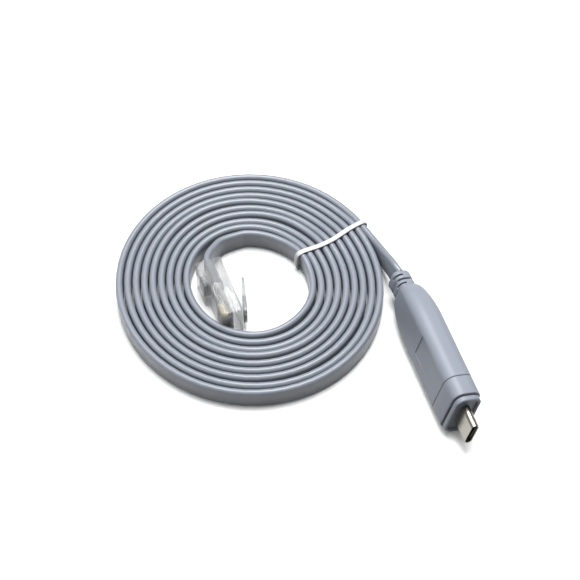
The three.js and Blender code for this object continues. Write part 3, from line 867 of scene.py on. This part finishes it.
def add_tie(material):
    inner_turn = INNERMOST_TURN + (INNER_END_ANGLE - TIE_ANGLE) / 360
    angle = math.radians(TIE_ANGLE)
    towards = Vector((math.cos(angle), math.sin(angle), 0))
    across = Vector((0, 0, 1)).cross(towards)
    near = (coil_point(inner_turn) - SPIRAL_CENTRE).to_2d().length - CABLE_THICKNESS / 2
    far = (coil_point(OUTERMOST_TURN) - SPIRAL_CENTRE).to_2d().length + CABLE_THICKNESS / 2
    top = CABLE_WIDTH + TIE_LIFT + TIE_THICKNESS / 2
    low = TIE_THICKNESS / 2
    # Points of the loop: distance from the coil's centre, sideways, and height. It goes up the
    # bore's wall, out over the layers, down the back and home along the floor.
    loop = [(near - 0.85, 0, 2.0), (near - 0.95, 0, 3.8), (near - 0.85, -0.05, 5.8), (near - 0.3, -0.1, 7.3),
            (near + 1.4, -0.2, top)]
    loop += [(near + (far - near) * share, offset, top) for share, offset in TIE_WAVE]
    loop += [(far - 0.7, 0.25, top), (far + 0.35, 0.15, 7.0), (far + 0.42, 0.05, 4.6), (far + 0.42, 0, 2.0),
             (far + 0.05, 0, 0.55), (far - 1.5, 0, low), (near + (far - near) * 0.5, 0, low),
             (near + 1.5, 0, low), (near - 0.2, 0, 0.5)]
    line = closed_through([SPIRAL_CENTRE + towards * r + across * side + Vector((0, 0, z))
                           for r, side, z in loop], 5)
    rings = []
    for i, point in enumerate(line):
        ahead = (line[(i + 1) % len(line)] - line[i - 1]).normalized()
        breadth = (across - ahead * across.dot(ahead)).normalized()
        out = breadth.cross(ahead)
        rings.append([point + breadth * a + out * b
                      for a, b in rounded_outline(TIE_BREADTH, TIE_THICKNESS, TIE_THICKNESS * 0.48, 4)])
    bm = loft([*rings, rings[0]], False, False)
    bmesh.ops.remove_doubles(bm, verts=bm.verts, dist=1e-4)
    tail_height = Vector((0, 0, 2 * TAIL_STRAND + TAIL_LIFT))
    add_tail(bm, SPIRAL_CENTRE + towards * (far + TAIL_BEYOND) + tail_height, across, towards)
    bmesh.ops.recalc_face_normals(bm, faces=bm.faces)
    return make_piece("white_tie", bm, material, ("twist_tie",))


def add_tail(bm, start, ahead, side):
    """Both ends of the tie twisted together, lying behind the coil."""
    up = Vector((0, 0, 1))
    for phase in (0, math.pi):
        rings = []
        for step in range(TAIL_STEPS + 1):
            distance = TAIL_LENGTH * step / TAIL_STEPS
            turn = phase + math.tau * distance / TAIL_PITCH
            centre = start + ahead * distance + (side * math.cos(turn) + up * math.sin(turn)) * TAIL_STRAND
            rings.append([centre + (side * math.cos(a) + up * math.sin(a)) * TAIL_STRAND * 0.98
                          for a in (math.tau * k / TAIL_SIDES for k in range(TAIL_SIDES))])
        merge(bm, loft(rings))


# Stage
FLOOR_HALF = 3
# Lights: azimuth and elevation in degrees, distance and breadth in metres, power in watts
LIGHTS = (("key", 10, 76, 0.8, 0.5, 11.5), ("rim", -60, 55, 1.0, 0.4, 2), ("fill", -115, 30, 0.9, 0.6, 1.6))
SKY_STRENGTH = 0.45
SKY_HORIZON = (0.10, 0.10, 0.105, 1)
SKY_TOP = (1, 1, 1, 1)
SKY_TOP_AT = 0.9


def add_floor():
    bm = bmesh.new()
    bmesh.ops.create_grid(bm, x_segments=2, y_segments=2, size=FLOOR_HALF)
    mesh = bpy.data.meshes.new("floor")
    bm.to_mesh(mesh)
    bm.free()
    made = Finish("floor_paper", (0.92, 0.92, 0.92), 0.9, Specular_IOR_Level=0.2)
    mesh.materials.append(made.material)
    floor = bpy.data.objects.new("floor", mesh)
    floor.visible_diffuse = False
    SCENE.collection.objects.link(floor)


def add_light(name, azimuth, elevation, distance, size, power):
    data = bpy.data.lights.new(name, "AREA")
    data.shape = "DISK"
    data.size = size
    data.energy = power
    light = bpy.data.objects.new(name, data)
    turn, rise = math.radians(azimuth), math.radians(elevation)
    direction = Vector((math.sin(turn) * math.cos(rise), math.cos(turn) * math.cos(rise), math.sin(rise)))
    light.location = direction * distance
    light.rotation_euler = direction.to_track_quat("Z", "Y").to_euler()
    SCENE.collection.objects.link(light)


def add_world():
    """Soft light from above, fading to the horizon."""
    world = bpy.data.worlds.new("studio")
    SCENE.world = world
    world.use_nodes = True
    tree = world.node_tree
    place = tree.nodes.new("ShaderNodeTexCoord")
    height = tree.nodes.new("ShaderNodeSeparateXYZ")
    ramp = tree.nodes.new("ShaderNodeValToRGB")
    low, high = ramp.color_ramp.elements
    low.position, low.color = 0, SKY_HORIZON
    high.position, high.color = SKY_TOP_AT, SKY_TOP
    tree.links.new(place.outputs["Generated"], height.inputs[0])
    tree.links.new(height.outputs["Z"], ramp.inputs["Fac"])
    tree.links.new(ramp.outputs["Color"], tree.nodes["Background"].inputs["Color"])
    tree.nodes["Background"].inputs["Strength"].default_value = SKY_STRENGTH


SCENE.view_settings.view_transform = "Standard"
CLEAR = clear_finish("clear_polycarbonate", 0.23, 0.45)
plug = add_plug_body(CLEAR)
wedge = add_wedge(CLEAR)
contacts = add_contacts(gold_finish())
conductors = add_conductors()
latch = add_latch(clear_finish("latch_polycarbonate", 0.42, 0.15))
tie = add_tie(tie_finish())
add_cable(cable_finish())
HOUSING_PLASTIC = housing_finish("housing_pvc", HOUSING_BLUE)
add_housing(HOUSING_PLASTIC)
add_cap(HOUSING_PLASTIC)
# The nose uses the housing plastic darkened to 0.92: painted shade for its front, which lies in shadow
add_nose(housing_finish("nose_plastic_painted_shade", shade(HOUSING_BLUE, 0.92)))
add_shell(nickel_finish())
add_liner(black_finish())
add_floor()
add_world()
for settings in LIGHTS:
    add_light(*settings)
